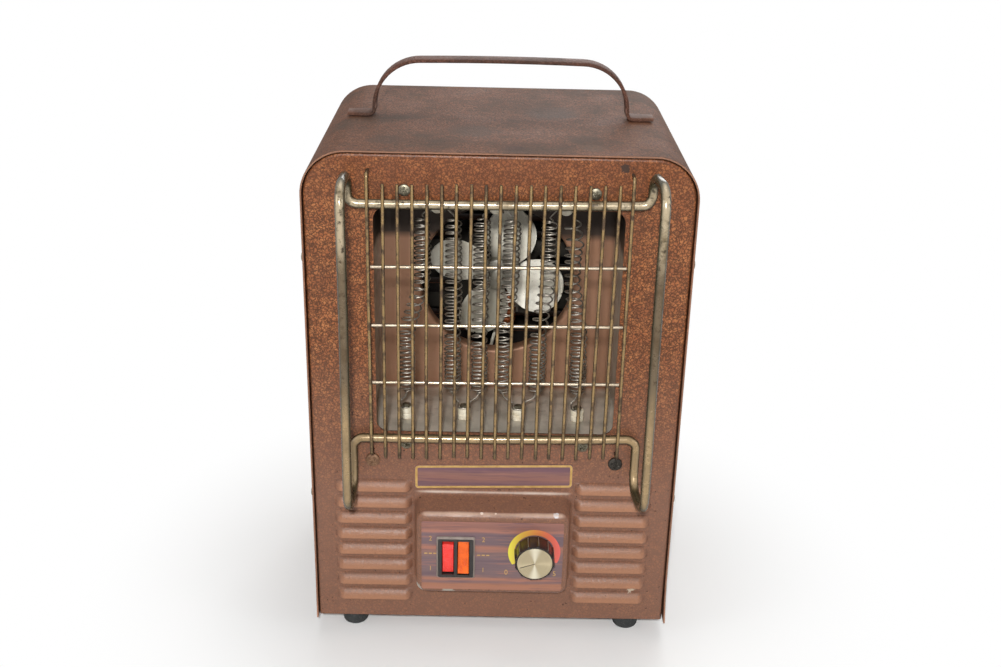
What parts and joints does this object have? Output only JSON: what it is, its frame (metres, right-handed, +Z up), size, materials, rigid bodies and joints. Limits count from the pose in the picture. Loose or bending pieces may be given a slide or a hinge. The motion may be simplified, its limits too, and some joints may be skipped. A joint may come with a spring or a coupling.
{
  "type": "portable electric heater",
  "caption": "Portable forced-air electric heater: sheet steel case, carry strap, wire guard, bare resistance coils, fan, rocker switches and thermostat knob.",
  "frame": {"origin": "on the floor, under the middle of the bounding box", "axes": "+Z up, -Y out of the front of the heater, +X to the right seen from the front"},
  "size_m": [0.2644, 0.2528, 0.4133],
  "materials": {
    "painted_case": "hammertone baked enamel, copper brown",
    "guard_rod": "dulled plated steel rod",
    "guard_wire": "brassed steel wire, tarnished",
    "screw_steel": "blackened steel screws",
    "chamber_steel": "aluminised sheet, heat toned",
    "ivory_ceramic": "glazed ivory ceramic",
    "coil_wire": "oxidised resistance wire",
    "fan_enamel": "cream enamel on aluminium",
    "motor_steel": "laminated and stamped steel",
    "winding_copper": "varnished copper winding",
    "black_abs": "moulded black plastic",
    "red_lens": "red translucent plastic",
    "amber_lens": "amber translucent plastic",
    "print_film": "printed wood-grain film",
    "spun_cap": "spun champagne anodised aluminium",
    "foot_rubber": "moulded rubber",
    "lead_sleeve": "high-temperature lead covering"
  },
  "bodies": {
    "casing": {"cabinet_wrap": "painted_case", "front_panel": "painted_case", "rear_panel": "painted_case", "base_pan": "painted_case", "carry_handle": "painted_case", "foot_front_left": "foot_rubber", "foot_front_right": "foot_rubber", "foot_rear_left": "foot_rubber", "foot_rear_right": "foot_rubber", "guard_frame": "guard_rod", "guard_grille": "guard_wire", "guard_wire_left": "guard_wire", "guard_wire_right": "guard_wire", "guard_screw_left": "screw_steel", "guard_screw_right": "screw_steel", "panel_screw_low_left": "screw_steel", "panel_screw_low_right": "screw_steel", "panel_screw_high_left": "screw_steel", "panel_screw_high_right": "screw_steel", "cabinet_screw_low_left": "screw_steel", "cabinet_screw_high_left": "screw_steel", "cabinet_screw_low_right": "screw_steel", "cabinet_screw_high_right": "screw_steel", "chamber_wall": "chamber_steel", "chamber_floor": "chamber_steel", "chamber_ceiling": "chamber_steel", "element_rail": "chamber_steel", "ceramic_spool_1": "ivory_ceramic", "ceramic_spool_2": "ivory_ceramic", "ceramic_spool_3": "ivory_ceramic", "ceramic_post_1": "ivory_ceramic", "ceramic_post_2": "ivory_ceramic", "ceramic_post_3": "ivory_ceramic", "ceramic_post_4": "ivory_ceramic", "terminal_bolt_1": "screw_steel", "terminal_bolt_2": "screw_steel", "terminal_bolt_3": "screw_steel", "terminal_bolt_4": "screw_steel", "element_coil_1": "coil_wire", "element_coil_2": "coil_wire", "element_coil_3": "coil_wire", "motor_stator": "motor_steel", "motor_bracket": "motor_steel", "motor_end_plate": "motor_steel", "motor_winding": "winding_copper", "switch_housing": "black_abs", "thermostat_body": "black_abs", "heat_limiter": "black_abs", "cord_bushing": "black_abs", "control_label": "print_film", "name_strip": "print_film", "element_lead": "lead_sleeve", "motor_lead": "lead_sleeve"},
    "knob": {"thermostat_stem": "screw_steel", "control_knob": "black_abs", "knob_cap": "spun_cap"},
    "fan": {"fan_blade": "fan_enamel", "motor_rotor": "motor_steel"},
    "fan_rocker": {"rocker_fan": "red_lens"},
    "heat_rocker": {"rocker_heat": "amber_lens"}
  },
  "joints": [
    {"name": "knob_turn", "type": "hinge", "parent": "casing", "child": "knob", "pos_m": [0.03, -0.11221, 0.0853], "axis": [0, 1, 0], "range_deg": [0, 240]},
    {"name": "fan_spin", "type": "hinge", "parent": "casing", "child": "fan", "pos_m": [0, 0.02379, 0.252], "axis": [0, 1, 0], "continuous": true},
    {"name": "fan_switch", "type": "hinge", "parent": "casing", "child": "fan_rocker", "pos_m": [-0.0316, -0.09471, 0.0803], "axis": [1, 0, 0], "range_deg": [-16, 0]},
    {"name": "heat_switch", "type": "hinge", "parent": "casing", "child": "heat_rocker", "pos_m": [-0.0206, -0.09471, 0.0803], "axis": [1, 0, 0], "range_deg": [0, 16]}
  ]
}
